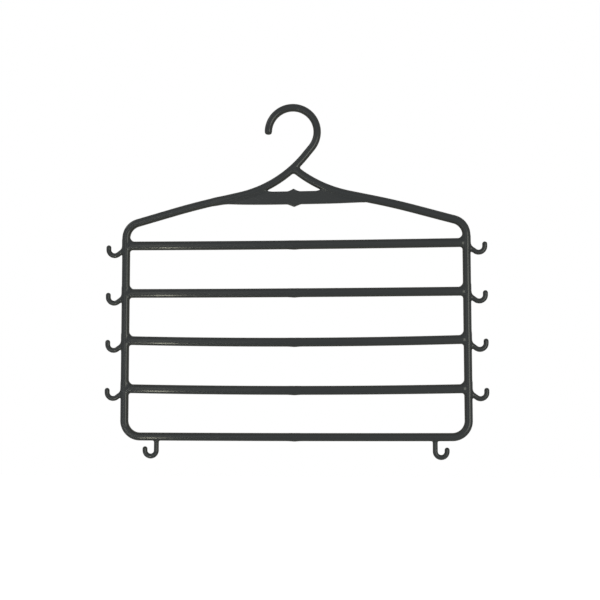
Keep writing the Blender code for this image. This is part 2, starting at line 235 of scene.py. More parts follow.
def arc(centre, radius, first, last):
    """Points along a circle from one angle to another."""
    steps = max(2, math.ceil(abs(last - first) * radius / POINT_GAP))
    return [on_circle(centre, radius, first + (last - first) * i / steps) for i in range(steps + 1)]


def bend(before, corner, after, radius):
    """Points of the arc that rounds one corner of a line."""
    towards = (corner - before).normalized()
    away = (after - corner).normalized()
    turn = math.atan2(towards.x * away.y - towards.y * away.x, towards.dot(away))
    start = corner - towards * radius * math.tan(abs(turn) / 2)
    left_normal = Vector((-towards.y, towards.x))
    centre = start + left_normal * math.copysign(radius, turn)
    first = math.atan2(start.y - centre.y, start.x - centre.x)
    return arc(centre, radius, first, first + turn)


def height_at(points, x):
    """Height of a line that runs steadily across, at the place x."""
    for a, b in zip(points, points[1:]):
        if min(a.x, b.x) <= x <= max(a.x, b.x) and a.x != b.x:
            return a.y + (b.y - a.y) * (x - a.x) / (b.x - a.x)
    raise ValueError("the line does not reach that far across")


def from_crossing(line, other):
    """The part of a line that runs on from where it crosses another line."""
    for i in range(len(line) - 1):
        for a, b in zip(other, other[1:]):
            meeting = intersect_line_line_2d(line[i], line[i + 1], a, b)
            if meeting:
                return [meeting] + line[i + 1 :]
    raise ValueError("the two lines do not cross")


def shortened(line, length):
    """The line without its first stretch."""
    left = length
    for i in range(len(line) - 1):
        step = (line[i + 1] - line[i]).length
        if step > left:
            return [line[i].lerp(line[i + 1], left / step)] + line[i + 1 :]
        left -= step
    raise ValueError("the line is too short")


def mirrored(points):
    return [Vector((-point.x, point.y)) for point in points]


# Corners and centres of the drawing
upright_x = (FRAME_WIDTH - FRAME_ROD) / 2
corner_bend = CORNER_RADIUS - FRAME_ROD / 2
peak = Vector((0, -PEAK_DROP))
inner_heading = heading(math.pi + SHOULDER_SLOPE_INNER)
outer_heading = heading(math.pi + SHOULDER_SLOPE_OUTER)
above_knee = Vector((SHOULDER_KNEE_IN - FRAME_WIDTH / 2, 0))
left_knee = meeting_point(peak, inner_heading, above_knee, Vector((0, 1)))
upper_corner = meeting_point(left_knee, outer_heading, Vector((-upright_x, 0)), Vector((0, 1)))
first_bar_z = upper_corner.y - FIRST_BAR_DROP
bar_heights = [first_bar_z - i * BAR_PITCH + shift for i, shift in enumerate(BAR_SHIFTS)]
rail_z = first_bar_z - 3 * BAR_PITCH - RAIL_PITCH
lower_corner = Vector((-upright_x, rail_z))
upright_middle = Vector((-upright_x, (upper_corner.y + rail_z) / 2))

hook_centre = Vector((-HOOK_SHIFT, -HOOK_DROP))
side_centre = hook_centre + heading(HOOK_SIDE_ANGLE) * (HOOK_BEND - HOOK_SIDE_BEND)
neck_heading = heading(math.pi + NECK_SLOPE)
neck_start = on_circle(side_centre, HOOK_SIDE_BEND, NECK_SLOPE - math.pi / 2)
neck_corner = meeting_point(neck_start, neck_heading, peak, inner_heading)
plate_top = peak.y - PLATE_TOP_BELOW_PEAK


def outer_shoulder(inner_points, drop=0.0):
    """Runs an arm on over the shoulder's knee and corner to the upright, on the left side."""
    lower = Vector((0, -drop))
    knee = bend(inner_points[-1], left_knee + lower, upper_corner + lower, SHOULDER_CROWN)
    corner = bend(knee[-1], upper_corner + lower, upright_middle, corner_bend)
    return inner_points + knee + corner + [upright_middle]


def arm_line():
    """The right arm, drawn on the left: an arc that runs out into the shoulder's inner line."""
    up = heading(math.pi / 2 + SHOULDER_SLOPE_INNER)
    rise = ARM_RISE * math.cos(SHOULDER_SLOPE_INNER)
    reach = math.sqrt(2 * ARM_BEND * rise - rise**2) - ARM_RISE * math.sin(SHOULDER_SLOPE_INNER)
    centre = peak + inner_heading * reach + up * ARM_BEND
    to_middle = peak + Vector((0, ARM_RISE)) - centre
    past_neck = 2 * HOOK_ROD / ARM_BEND
    first = math.atan2(to_middle.y, to_middle.x) + past_neck
    return arc(centre, ARM_BEND, first, SHOULDER_SLOPE_INNER - math.pi / 2)


def sagging_line(half, height, sag, left_drop=0.0):
    """A level line from -half to half that hangs a little in the middle."""
    points = []
    for i in range(SAG_STEPS + 1):
        x = half * (2 * i / SAG_STEPS - 1)
        swell = MIDDLE_SWELL * max(0.0, 1 - abs(x) / SWELL_REACH) ** 2
        lower = sag * (1 - (x / half) ** 2) + swell + left_drop * (1 - i / SAG_STEPS)
        points.append(Vector((x, height - lower)))
    return points


def rail_line():
    """The bottom rail with its two rounded corners, and its slight sag and tilt between them."""
    right = mirrored(bend(upright_middle, lower_corner, Vector((0, rail_z)), corner_bend))
    left_z = rail_z - RAIL_DROP_LEFT
    left = bend(upright_middle, Vector((-upright_x, left_z)), Vector((0, left_z)), corner_bend)
    level = sagging_line(right[-1].x, rail_z, RAIL_SAG, RAIL_DROP_LEFT)
    return [upright_middle] + left + level[1:-1] + right[::-1] + mirrored([upright_middle])


neck_line = [neck_start] + bend(neck_start, neck_corner, left_knee, NECK_BEND)
left_shoulder_line = outer_shoulder(neck_line)
right_arm_line = from_crossing(mirrored(arm_line()), left_shoulder_line)
right_shoulder_line = mirrored(outer_shoulder(mirrored(right_arm_line), RIGHT_SHOULDER_DROP))
rail_points = rail_line()


def closet_hook_line():
    """The hook from past its tip, which is cut off later, round to the neck."""
    upper = arc(hook_centre, HOOK_BEND, HOOK_TIP_ANGLE, HOOK_SIDE_ANGLE)
    lower = arc(side_centre, HOOK_SIDE_BEND, HOOK_SIDE_ANGLE, NECK_SLOPE - math.pi / 2)
    down = heading(HOOK_TIP_ANGLE + math.pi / 2)
    return [upper[0] + down * 3 * TIP_REACH] + upper + lower[1:]


def side_hook_line():
    """Left side hook, with the middle of its bar's line as its origin."""
    centre = Vector((-FRAME_WIDTH / 2 - SIDE_HOOK_OUT, -SIDE_HOOK_DROP))
    curve = arc(centre, SIDE_HOOK_BEND, SIDE_HOOK_SLOPE - math.pi / 2, -math.pi)
    back = heading(SIDE_HOOK_SLOPE)
    root = curve[0] + back * (-upright_x - SIDE_ROOT_OUT - curve[0].x) / back.x
    above = root + Vector((0, SIDE_ROOT_BEND))
    tip = curve[-1] + Vector((0, SIDE_HOOK_RISE))
    return [above] + bend(above, root, curve[0], SIDE_ROOT_BEND) + curve + [tip]


def bottom_hook_line():
    """Left bottom hook: down from the rail, round the bend and up on its outer side."""
    stem_x = -FRAME_WIDTH / 2 + BOTTOM_HOOK_FROM_EDGE
    centre = Vector((stem_x - BOTTOM_HOOK_BEND, rail_z - BOTTOM_HOOK_DROP))
    curve = arc(centre, BOTTOM_HOOK_BEND, 0.0, -math.pi)
    root = Vector((stem_x, height_at(rail_points, stem_x)))
    return [root] + curve + [curve[-1] + Vector((0, BOTTOM_HOOK_RISE))]


def point_share(x, shift, hollow):
    """How far a point of the plate's edge stands out at x, as a share of its height."""
    return max(0.0, 1 - abs(x - shift) / (POINT_WIDTH / 2)) ** hollow


def plate_outline():
    """The plate's edge, drawn in by the rounding of its edges."""
    reach = PLATE_LEFT_REACH + PLATE_RIGHT_REACH
    places = [PLATE_RIGHT_REACH - reach * i / PLATE_STEPS for i in range(PLATE_STEPS + 1)]
    for shift in (UPPER_POINT_SHIFT, LOWER_POINT_SHIFT):
        for i in range(-POINT_STEPS, POINT_STEPS + 1):
            places.append(shift + POINT_WIDTH / 2 * i / POINT_STEPS)
    lower, upper = [], []
    for x in sorted(set(places)):
        point = POINT_HEIGHT * point_share(x, UPPER_POINT_SHIFT, UPPER_POINT_HOLLOW)
        to_corner = min(x - WINDOW_LEFT, WINDOW_RIGHT - x)
        near_corner = min(1.0, max(0.0, 1 - to_corner / WINDOW_CORNER_REACH))
        top = plate_top + point + WINDOW_CORNER_LIFT * near_corner**2 - PLATE_EDGE
        top += PLATE_TILT * max(0.0, x)
        if abs(x) > POINT_WIDTH:
            # Towards its ends the plate stays below the middle of the arm that runs over it
            arm = left_shoulder_line if x < 0 else right_shoulder_line
            top = min(top, height_at(arm, x))
        point = POINT_HEIGHT * point_share(x, LOWER_POINT_SHIFT, LOWER_POINT_HOLLOW)
        end_rise = PLATE_LEFT_RISE if x < 0 else PLATE_RIGHT_RISE
        rise = PLATE_TILT * x + end_rise * abs(x / PLATE_RIGHT_REACH) ** 3
        bottom = plate_top - PLATE_HEIGHT + rise - point + PLATE_EDGE
        lower.append(Vector((x, min(bottom, top - PLATE_TIP_HEIGHT))))
        upper.append(Vector((x, top)))
    return lower + upper[::-1]


def stood_up(point):
    """A point of the drawing as a place in the scene, in the moulding's middle plane."""
    return Vector((point.x + HOOK_SHIFT, 0, point.y))


def helper(name, mesh):
    """An object that only feeds the node tree and isn't rendered itself."""
    obj = bpy.data.objects.new(name, mesh)
    obj.hide_render = True
    bpy.context.scene.collection.objects.link(obj)
    return obj


def line_object(name, *lines):
    """The lines as loose edges of one helper object."""
    points, edges = [], []
    for line in lines:
        first = len(points)
        points += [stood_up(point) for point in line]
        edges += [(first + i, first + i + 1) for i in range(len(line) - 1)]
    mesh = bpy.data.meshes.new(name)
    mesh.from_pydata(points, edges, [])
    return helper(name, mesh)


def filled_outline(name, outline):
    """The flat face inside an outline as a helper object."""
    shape = bmesh.new()
    shape.faces.new([shape.verts.new(stood_up(point)) for point in outline])
    bmesh.ops.triangulate(shape, faces=shape.faces)
    mesh = bpy.data.meshes.new(name)
    shape.to_mesh(mesh)
    shape.free()
    return helper(name, mesh)


# The tree's inputs: the drawn lines that the moulding grows round, and its sizes
DRAWN_SHAPES = (
    "Frame Line", "Right Arm Line", "Bar Lines", "Side Hook Line", "Side Hook Roots",
    "Bottom Hook Lines", "Plate Outline",
)

FORM_SIZES = {
    "Rod Thickness": FRAME_ROD,
    "Neck Thickness": HOOK_ROD,
    "Right Shoulder Thickness": RIGHT_SHOULDER_ROD,
    "Bar Height": BAR_HEIGHT,
    "Middle Swell": MIDDLE_SWELL,
    "Depth": FRAME_DEPTH,
    "Rod Flatness": ROD_FLATNESS,
    "Bar Flatness": BAR_FLATNESS,
    "Fillet Above Bar": FILLET_ABOVE,
    "Fillet Below Bar": FILLET_BELOW,
    "Junction Blend": JUNCTION_BLEND,
    "Crotch Blend": CROTCH_BLEND,
    "Plate Thickness": PLATE_THICKNESS,
    "Plate Edge": PLATE_EDGE,
    "Plate Blend": PLATE_BLEND,
    "Plate Left End Blend": PLATE_LEFT_BLEND,
    "Side Hook Thickness": SIDE_HOOK_ROD,
    "Bottom Hook Thickness": BOTTOM_HOOK_ROD,
    "Lozenge Proud": LOZENGE_PROUD,
    "Root Blend": ROOT_BLEND,
    "Grid Step": GRID_STEP,
}


class Tree:
    """A node tree with short names for the few kinds of node that the moulding needs."""

    def __init__(self, name):
        self.group = bpy.data.node_groups.new(name, "GeometryNodeTree")
        self.group.interface.new_socket(
            "Geometry", in_out="OUTPUT", socket_type="NodeSocketGeometry"
        )
        self.entry = self.group.nodes.new("NodeGroupInput")

    def given(self, name, kind, value=None):
        """A named input of the tree."""
        socket = self.group.interface.new_socket(name, in_out="INPUT", socket_type=kind)
        if value is not None:
            socket.default_value = value
        return self.entry.outputs[socket.identifier]

    def node(self, kind, inputs=None, **settings):
        """A new node with its settings, and a number or a link on each named input."""
        node = self.group.nodes.new(kind)
        for setting, value in settings.items():
            setattr(node, setting, value)
        for socket, value in (inputs or {}).items():
            self.connect(node.inputs[socket], value)
        return node

    def connect(self, socket, value):
        if isinstance(value, bpy.types.NodeSocket):
            self.group.links.new(value, socket)
        else:
            socket.default_value = value

    def maths(self, operation, *values):
        node = self.node("ShaderNodeMath", operation=operation)
        for socket, value in zip(node.inputs, values):
            self.connect(socket, value)
        return node.outputs[0]

    def add(self, a, b):
        return self.maths("ADD", a, b)

    def subtract(self, a, b):
        return self.maths("SUBTRACT", a, b)

    def multiply(self, a, b):
        return self.maths("MULTIPLY", a, b)

    def divide(self, a, b):
        return self.maths("DIVIDE", a, b)

    def power(self, a, b):
        return self.maths("POWER", a, b)

    def absolute(self, a):
        return self.maths("ABSOLUTE", a)

    def at_least(self, a, b):
        return self.maths("MAXIMUM", a, b)

    def joined(self, a, b, blend):
        """Two forms run together, with a soft valley between them."""
        return self.maths("SMOOTH_MIN", a, b, blend)

    def length(self, a, b):
        squares = self.add(self.multiply(a, a), self.multiply(b, b))
        return self.maths("SQRT", squares)

    def ramp(self, value, low, high, at_low, at_high, smooth=False):
        """Runs from at_low to at_high while the value runs from low to high."""
        node = self.node(
            "ShaderNodeMapRange", interpolation_type="SMOOTHSTEP" if smooth else "LINEAR"
        )
        for socket, number in zip(node.inputs, (value, low, high, at_low, at_high)):
            self.connect(socket, number)
        return node.outputs[0]

    def nearest(self, target, place, element="EDGES"):
        """Nearest place on the target and its distance."""
        inputs = {"Geometry": target, "Sample Position": place}
        node = self.node("GeometryNodeProximity", inputs, target_element=element)
        return node.outputs["Position"], node.outputs["Distance"]

    def distance_to(self, place, fixed):
        node = self.node("ShaderNodeVectorMath", operation="DISTANCE")
        self.connect(node.inputs[0], place)
        self.connect(node.inputs[1], fixed)
        return node.outputs["Value"]

    def shape_of(self, source):
        return self.node("GeometryNodeObjectInfo", {"Object": source}).outputs["Geometry"]

    def axes_of(self, place):
        return self.node("ShaderNodeSeparateXYZ", {"Vector": place}).outputs


class MouldedForm(Tree):
    """The moulding as it grows round its drawn lines.

    Every outline and surface here is a distance to the plastic in metres, negative inside it.
    """

    def __init__(self):
        super().__init__("moulded_hanger")
        drawn = {name: self.given(name, "NodeSocketObject") for name in DRAWN_SHAPES}
        self.sizes = {}
        for name, size in FORM_SIZES.items():
            self.sizes[name] = self.given(name, "NodeSocketFloat", size)
        self.plastic = self.given("Plastic", "NodeSocketMaterial")

        self.drawn = {name: self.shape_of(socket) for name, socket in drawn.items()}
        self.place = self.node("GeometryNodeInputPosition").outputs[0]
        self.x, self.y, self.z = self.axes_of(self.place)
        flat = {"X": self.x, "Z": self.z}
        self.flat_place = self.node("ShaderNodeCombineXYZ", flat).outputs[0]
        self.off_middle_plane = self.absolute(self.y)
        self.half_rod = self.multiply(self.sizes["Rod Thickness"], 0.5)
        self.half_depth = self.multiply(self.sizes["Depth"], 0.5)

    def beside(self, line, half_thickness):
        """Distance to a rod's outline in the drawing plane, scaled to the frame's thickness."""
        away = self.nearest(line, self.flat_place)[1]
        share = self.subtract(self.divide(away, half_thickness), 1.0)
        return self.multiply(share, self.half_rod)

    def middle_swell(self):
        """The feed marks, on the bars and the rail alone."""
        off_middle = self.absolute(self.subtract(self.x, HOOK_SHIFT))
        size = self.sizes["Middle Swell"]
        swell = self.ramp(off_middle, 0.0, SWELL_REACH, size, 0.0, smooth=True)
        below_plate = self.maths("LESS_THAN", self.z, first_bar_z + 2 * FRAME_ROD)
        return self.multiply(swell, below_plate)

    def frame_outline(self, swell):
        """Hook, neck, shoulders, uprights and bottom rail."""
        rod = self.sizes["Rod Thickness"]
        hook_share = self.ramp(self.z, *NECK_THICKENS, 1.0, 0.0)
        thinner = self.multiply(hook_share, self.subtract(rod, self.sizes["Neck Thickness"]))
        half_thickness = self.multiply(self.subtract(rod, thinner), 0.5)
        outline = self.beside(self.drawn["Frame Line"], self.add(half_thickness, swell))
        outline = self.with_rounded_tip(outline)

        grown = self.ramp(self.z, *RIGHT_SHOULDER_GROWS, 0.0, 1.0)
        shrunk = self.ramp(self.z, *RIGHT_SHOULDER_SHRINKS, 1.0, 0.0)
        spare = self.multiply(self.subtract(self.sizes["Right Shoulder Thickness"], rod), 0.5)
        stouter = self.multiply(spare, self.multiply(grown, shrunk))
        arm = self.beside(self.drawn["Right Arm Line"], self.add(half_thickness, stouter))

        from_crotch = self.distance_to(self.flat_place, stood_up(right_arm_line[0]))
        near_crotch = self.ramp(from_crotch, *CROTCH_FADES, 1.0, 0.0)
        blend = self.multiply(self.sizes["Crotch Blend"], near_crotch)
        return self.joined(outline, arm, blend)

    def with_rounded_tip(self, outline):
        """Cuts the hook's rod off at its tip and rounds the corners of the cut."""
        tip = stood_up(on_circle(hook_centre, HOOK_BEND, HOOK_TIP_ANGLE))
        down = heading(HOOK_TIP_ANGLE + math.pi / 2)
        along = self.add(
            self.multiply(self.subtract(self.x, tip.x), down.x),
            self.multiply(self.subtract(self.z, tip.z), down.y),
        )
        past_tip = self.subtract(along, TIP_REACH)
        cut_off = self.maths("SMOOTH_MAX", outline, past_tip, TIP_ROUNDING)
        near_tip = self.maths("LESS_THAN", self.distance_to(self.flat_place, tip), TIP_ZONE)
        inputs = {"Switch": near_tip, "False": outline, "True": cut_off}
        return self.node("GeometryNodeSwitch", inputs, input_type="FLOAT").outputs[0]

    def with_bars(self, outline, swell):
        """Adds the trouser bars, with a true round fillet above each and a smaller one below.

        Gives the new outline and the flatness of its section, which isn't the same on a bar.
        """
        sizes = self.sizes
        bar_lines = self.drawn["Bar Lines"]
        half_bar = self.multiply(sizes["Bar Height"], 0.5)
        bar_outline = self.beside(bar_lines, self.add(half_bar, swell))
        bar_place = self.nearest(bar_lines, self.flat_place)[0]
        over = self.subtract(self.z, self.axes_of(bar_place)[2])
        below, above = sizes["Fillet Below Bar"], sizes["Fillet Above Bar"]
        fillet = self.ramp(over, -FILLET_CHANGE, FILLET_CHANGE, below, above, smooth=True)
        on_bar, on_rod = sizes["Bar Flatness"], sizes["Rod Flatness"]
        in_bar = self.subtract(bar_outline, outline)
        flatness = self.ramp(in_bar, -SECTION_CHANGE, SECTION_CHANGE, on_bar, on_rod, smooth=True)

        from_frame = self.at_least(self.subtract(fillet, outline), 0.0)
        from_bar = self.at_least(self.subtract(fillet, bar_outline), 0.0)
        nearer = self.joined(outline, bar_outline, sizes["Junction Blend"])
        rounded = self.subtract(self.at_least(fillet, nearer), self.length(from_frame, from_bar))
        in_fillet = self.ramp(nearer, *FILLET_EDGE, 0.0, 1.0, smooth=True)
        filled = self.multiply(self.subtract(rounded, nearer), in_fillet)
        return self.add(nearer, filled), flatness

    def rounded_section(self, outline, flatness):
        """Gives the flat outline its depth: a superellipse across each rod and bar."""
        share_across = self.at_least(self.add(self.divide(outline, self.half_rod), 1.0), 0.0)
        share_deep = self.divide(self.off_middle_plane, self.half_depth)
        powers = self.add(self.power(share_across, flatness), self.power(share_deep, flatness))
        ratio = self.power(powers, self.divide(1.0, flatness))
        return self.multiply(self.subtract(ratio, 1.0), self.half_rod)

    def lozenge(self):
        """How far the faint lozenge stands proud; its lower corner is the lower point's tip."""
        lift = LOZENGE_HEIGHT / 2 - POINT_HEIGHT
        middle = stood_up(Vector((LOWER_POINT_SHIFT, plate_top - PLATE_HEIGHT + lift)))
        across = self.absolute(self.subtract(self.x, middle.x))
        up = self.absolute(self.subtract(self.z, middle.z))
        out = self.add(self.divide(across, POINT_WIDTH / 2), self.divide(up, LOZENGE_HEIGHT / 2))
        return self.ramp(out, *LOZENGE_EDGE, self.sizes["Lozenge Proud"], 0.0, smooth=True)

    def with_plate(self, surface):
        """Adds the centre plate, and keeps all plastic within the moulding's depth."""
        sizes = self.sizes
        beyond = self.nearest(self.drawn["Plate Outline"], self.flat_place, "FACES")[1]
        half_plate = self.add(self.multiply(sizes["Plate Thickness"], 0.5), self.lozenge())
        flat_half = self.subtract(half_plate, sizes["Plate Edge"])
        proud = self.at_least(self.subtract(self.off_middle_plane, flat_half), 0.0)
        plate = self.subtract(self.length(beyond, proud), sizes["Plate Edge"])
        left_end = [HOOK_SHIFT + x for x in PLATE_LEFT_END]
        blend = self.ramp(self.x, *left_end, sizes["Plate Left End Blend"], sizes["Plate Blend"])
        surface = self.joined(surface, plate, blend)
        return self.at_least(surface, self.subtract(self.off_middle_plane, self.half_depth))

    def with_small_hooks(self, surface):
        """Adds a side hook at both ends of each bar, and the two hooks under the rail."""
        hooks = {"Points": self.drawn["Side Hook Roots"], "Instance": self.drawn["Side Hook Line"]}
        left = self.node("GeometryNodeInstanceOnPoints", hooks)
        half_turn = self.node("FunctionNodeEulerToRotation", {"Euler": (0.0, 0.0, math.pi)})
        hooks["Rotation"] = half_turn.outputs[0]
        right = self.node("GeometryNodeInstanceOnPoints", hooks)
        both = self.node("GeometryNodeJoinGeometry")
        self.connect(both.inputs[0], left.outputs[0])
        self.connect(both.inputs[0], right.outputs[0])
        side_hooks = self.node("GeometryNodeRealizeInstances", {"Geometry": both.outputs[0]})
        kinds = (
            (side_hooks.outputs[0], self.sizes["Side Hook Thickness"]),
            (self.drawn["Bottom Hook Lines"], self.sizes["Bottom Hook Thickness"]),
        )
        for lines, thickness in kinds:
            away = self.nearest(lines, self.place)[1]
            hook = self.subtract(away, self.multiply(thickness, 0.5))
            surface = self.joined(surface, hook, self.sizes["Root Blend"])
        return surface

    def skin(self, surface):
        """The plastic's skin where the surface distance is nought, with evenly spread points."""
        inside = self.multiply(surface, -1.0)
        margin = Vector((GRID_MARGIN,) * 3)
        low, high = lowest - margin, highest + margin
        inputs = {"Density": inside, "Background": -1.0, "Min": low, "Max": high}
        for axis, size in zip("XYZ", high - low):
            steps = self.divide(size, self.sizes["Grid Step"])
            inputs["Resolution " + axis] = self.maths("CEIL", steps)
        volume = self.node("GeometryNodeVolumeCube", inputs)
        inputs = {"Volume": volume.outputs[0], "Threshold": 0.0}
        shape = self.node("GeometryNodeVolumeToMesh", inputs).outputs[0]

        normal = self.node("GeometryNodeInputNormal").outputs[0]
        to_surface = self.node("ShaderNodeVectorMath", operation="SCALE")
        self.connect(to_surface.inputs[0], normal)
        self.connect(to_surface.inputs["Scale"], inside)
        inputs = {"Iterations": SMOOTHING}
        blur = self.node("GeometryNodeBlurAttribute", inputs, data_type="FLOAT_VECTOR")
        vectors = [socket for socket in blur.inputs if socket.enabled and socket.type == "VECTOR"]
        self.connect(vectors[0], self.place)
        evened = next(socket for socket in blur.outputs if socket.enabled)

        # The points are spread twice, each time set back on the surface, and then settled
        onto_surface = ("Offset", to_surface.outputs[0])
        for socket, value in 2 * [onto_surface, ("Position", evened)] + 3 * [onto_surface]:
            moved = self.node("GeometryNodeSetPosition", {"Geometry": shape, socket: value})
            shape = moved.outputs[0]

        sideways = self.subtract(1.0, self.absolute(self.axes_of(normal)[1]))
        inputs = {"Geometry": shape, "Name": EDGE_SHARE, "Value": sideways}
        return self.node("GeometryNodeStoreNamedAttribute", inputs).outputs[0]

    def finish(self, shape):
        """Ends the tree with a smooth, plain mesh of the plastic."""
        shape = self.node("GeometryNodeSetShadeSmooth", {"Geometry": shape}).outputs[0]
        shape = self.node("GeometryNodeRealizeInstances", {"Geometry": shape}).outputs[0]
        inputs = {"Geometry": shape, "Material": self.plastic}
        shape = self.node("GeometryNodeSetMaterial", inputs).outputs[0]
        self.connect(self.node("NodeGroupOutput").inputs[0], shape)


def moulding_tree():
    """Grows the moulding round its lines: rods with soft fillets, a plate and small hooks."""
    form = MouldedForm()
    swell = form.middle_swell()
    outline, flatness = form.with_bars(form.frame_outline(swell), swell)
    surface = form.rounded_section(outline, flatness)
    surface = form.with_small_hooks(form.with_plate(surface))
    form.finish(form.skin(surface))
    return form.group


class Surface:
    """The plastic's node material, with short names for the nodes that it uses."""

    def __init__(self, name):
        self.material = bpy.data.materials.new(name)
        self.material.use_nodes = True
        self.tree = self.material.node_tree
        self.shader = self.tree.nodes["Principled BSDF"]
        self.place = self.tree.nodes.new("ShaderNodeTexCoord").outputs["Object"]

    def put(self, value, socket):
        if isinstance(value, bpy.types.NodeSocket):
            self.tree.links.new(value, socket)
        else:
            socket.default_value = value

    def maths(self, operation, *values):
        node = self.tree.nodes.new("ShaderNodeMath")
        node.operation = operation
        for socket, value in zip(node.inputs, values):
            self.put(value, socket)
        return node.outputs[0]

    def noise(self, scale, detail):
        node = self.tree.nodes.new("ShaderNodeTexNoise")
        self.put(scale, node.inputs["Scale"])
        self.put(detail, node.inputs["Detail"])
        self.put(self.place, node.inputs["Vector"])
        return node.outputs["Fac"]

    def ramp(self, value, low, high, at_low, at_high):
        node = self.tree.nodes.new("ShaderNodeMapRange")
        for socket, number in zip(node.inputs, (value, low, high, at_low, at_high)):
            self.put(number, socket)
        return node.outputs["Result"]

    def stored(self, name):
        """A number stored on the mesh."""
        node = self.tree.nodes.new("ShaderNodeAttribute")
        node.attribute_name = name
        return node.outputs["Fac"]

    def mixed(self, share, plain, other):
        """A colour between two others."""
        node = self.tree.nodes.new("ShaderNodeMix")
        node.data_type = "RGBA"
        self.put(share, node.inputs["Factor"])
        colours = [socket for socket in node.inputs if socket.type == "RGBA"]
        for socket, colour in zip(colours, (plain, other)):
            self.put(colour, socket)
        return next(socket for socket in node.outputs if socket.type == "RGBA")


def satin_plastic():
    """Black plastic as it leaves a satin mould: fine grain, uneven sheen, rubbed and with a painted
    sheen at its outline.
    """
    surface = Surface("satin_black_plastic")
    shader = surface.shader
    patches = surface.noise(PATCH_COUNT, detail=4)
    streaks = surface.noise(STREAK_COUNT, detail=3)
    grain = surface.noise(GRAIN_COUNT, detail=3)

    # Along its outline the plastic is duller, and its colour there is warmer and lighter, partly
    # from wear and partly as a painted sheen; more so in some places
    at_edge = surface.ramp(surface.stored(EDGE_SHARE), *WEAR_AND_SHEEN_RANGE, 0.0, 1.0)
    uneven = surface.ramp(streaks, *NOISE_RANGE, WEAR_AND_SHEEN_LEAST, 1.0)
    wear_and_sheen = surface.maths("MULTIPLY", at_edge, uneven)
    surface.put(surface.mixed(wear_and_sheen, BODY_COLOUR, WEAR_AND_SHEEN_COLOUR), shader.inputs["Base Color"])

    even_roughness = surface.ramp(patches, *NOISE_RANGE, *ROUGHNESS_RANGE)
    rougher = surface.maths("MULTIPLY", wear_and_sheen, WORN_ROUGHNESS)
    surface.put(surface.maths("ADD", even_roughness, rougher), shader.inputs["Roughness"])
    surface.put(PLASTIC_IOR, shader.inputs["IOR"])
    duller = surface.maths("MULTIPLY", wear_and_sheen, WORN_COAT_LOSS)
    surface.put(surface.maths("SUBTRACT", COAT_WEIGHT, duller), shader.inputs["Coat Weight"])
    surface.put(COAT_ROUGHNESS, shader.inputs["Coat Roughness"])
    surface.put(COAT_IOR, shader.inputs["Coat IOR"])

    bump = surface.tree.nodes.new("ShaderNodeBump")
    surface.put(GRAIN_STRENGTH, bump.inputs["Strength"])
    surface.put(GRAIN_DEPTH, bump.inputs["Distance"])
    surface.put(grain, bump.inputs["Height"])
    surface.put(bump.outputs["Normal"], shader.inputs["Normal"])
    return surface.material


def drawn_helpers():
    """The drawn lines and the plate's outline, by the name of the tree's input."""
    side_hook = line_object("side_hook_line", side_hook_line())
    # The roots already stand in the scene, so the hook itself is drawn back to the drawing's x
    side_hook.data.transform(Matrix.Translation((-HOOK_SHIFT, 0, 0)))
    roots = bpy.data.meshes.new("side_hook_roots")
    roots.from_pydata([stood_up(Vector((0, height))) for height in bar_heights], [], [])
    bar_end = upright_x - FRAME_ROD / 2 - BAR_END_GAP
    bars = [sagging_line(bar_end, height, sag) for height, sag in zip(bar_heights, BAR_SAGS)]
    frame_lines = (closet_hook_line() + left_shoulder_line, rail_points)
    # The arm's rounded start stays hidden inside the neck
    arm = shortened(right_shoulder_line, FRAME_ROD / 2)
    bottom_hook = bottom_hook_line()
    return {
        "Frame Line": line_object("frame_line", *frame_lines),
        "Right Arm Line": line_object("right_arm_line", arm),
        "Bar Lines": line_object("bar_lines", *bars),
        "Side Hook Line": side_hook,
        "Side Hook Roots": helper("side_hook_roots", roots),
        "Bottom Hook Lines": line_object("bottom_hook_lines", bottom_hook, mirrored(bottom_hook)),
        "Plate Outline": filled_outline("plate_outline", plate_outline()),
    }


def moulding_mesh(material):
    """The whole moulding as one plain mesh."""
    helpers = drawn_helpers()
    carrier = helper("moulding", bpy.data.meshes.new("moulding"))
    modifier = carrier.modifiers.new("moulded_hanger", "NODES")
    modifier.node_group = moulding_tree()
    values = {**helpers, "Plastic": material}
    for item in modifier.node_group.interface.items_tree:
        if item.in_out == "INPUT" and item.name in values:
            modifier[item.identifier] = values[item.name]
    bpy.context.view_layer.update()
    graph = bpy.context.evaluated_depsgraph_get()
    mesh = bpy.data.meshes.new_from_object(carrier.evaluated_get(graph))
    for obj in [carrier, *helpers.values()]:
        bpy.data.objects.remove(obj, do_unlink=True)
    return mesh


def cut_across(shape, place, direction):
    """Cuts one limb through at a place, square to its direction, and parts the two sides."""
    near = [face for face in shape.faces if (face.calc_center_median() - place).length < FRAME_ROD]
    around = set(near)
    for face in near:
        around.update(face.edges)
        around.update(face.verts)
    cut = bmesh.ops.bisect_plane(
        shape, geom=list(around), dist=CUT_TOLERANCE, plane_co=place, plane_no=direction
    )
    rim = [item for item in cut["geom_cut"] if isinstance(item, bmesh.types.BMEdge)]
    bmesh.ops.split_edges(shape, edges=rim)


def cut_into_limbs(shape):
    """Cuts the skin where the parts of the CAD model part, or a little along the rod from there."""
    neck_cut = stood_up(neck_start + neck_heading * FRAME_ROD / 4)
    along_neck = stood_up(neck_heading) - stood_up(Vector((0, 0)))
    cut_across(shape, neck_cut, along_neck)
    bar_cut_x = upright_x - FRAME_ROD / 2 - FILLET_ABOVE - CUT_PAST_FILLET
    rail_cut_z = rail_z + CORNER_RADIUS
    for side in (-1, 1):
        for height in bar_heights:
            cut_across(shape, stood_up(Vector((side * bar_cut_x, height))), Vector((1, 0, 0)))
        cut_across(shape, stood_up(Vector((side * upright_x, rail_cut_z))), Vector((0, 0, 1)))


def limb_at(shape, place):
    """The vertices that hang together with the one nearest to a place."""
    first = min(shape.verts, key=lambda vert: (vert.co - place).length_squared)
    found, waiting = {first}, [first]
    while waiting:
        for edge in waiting.pop().link_edges:
            for vert in edge.verts:
                if vert not in found:
                    found.add(vert)
                    waiting.append(vert)
    return found


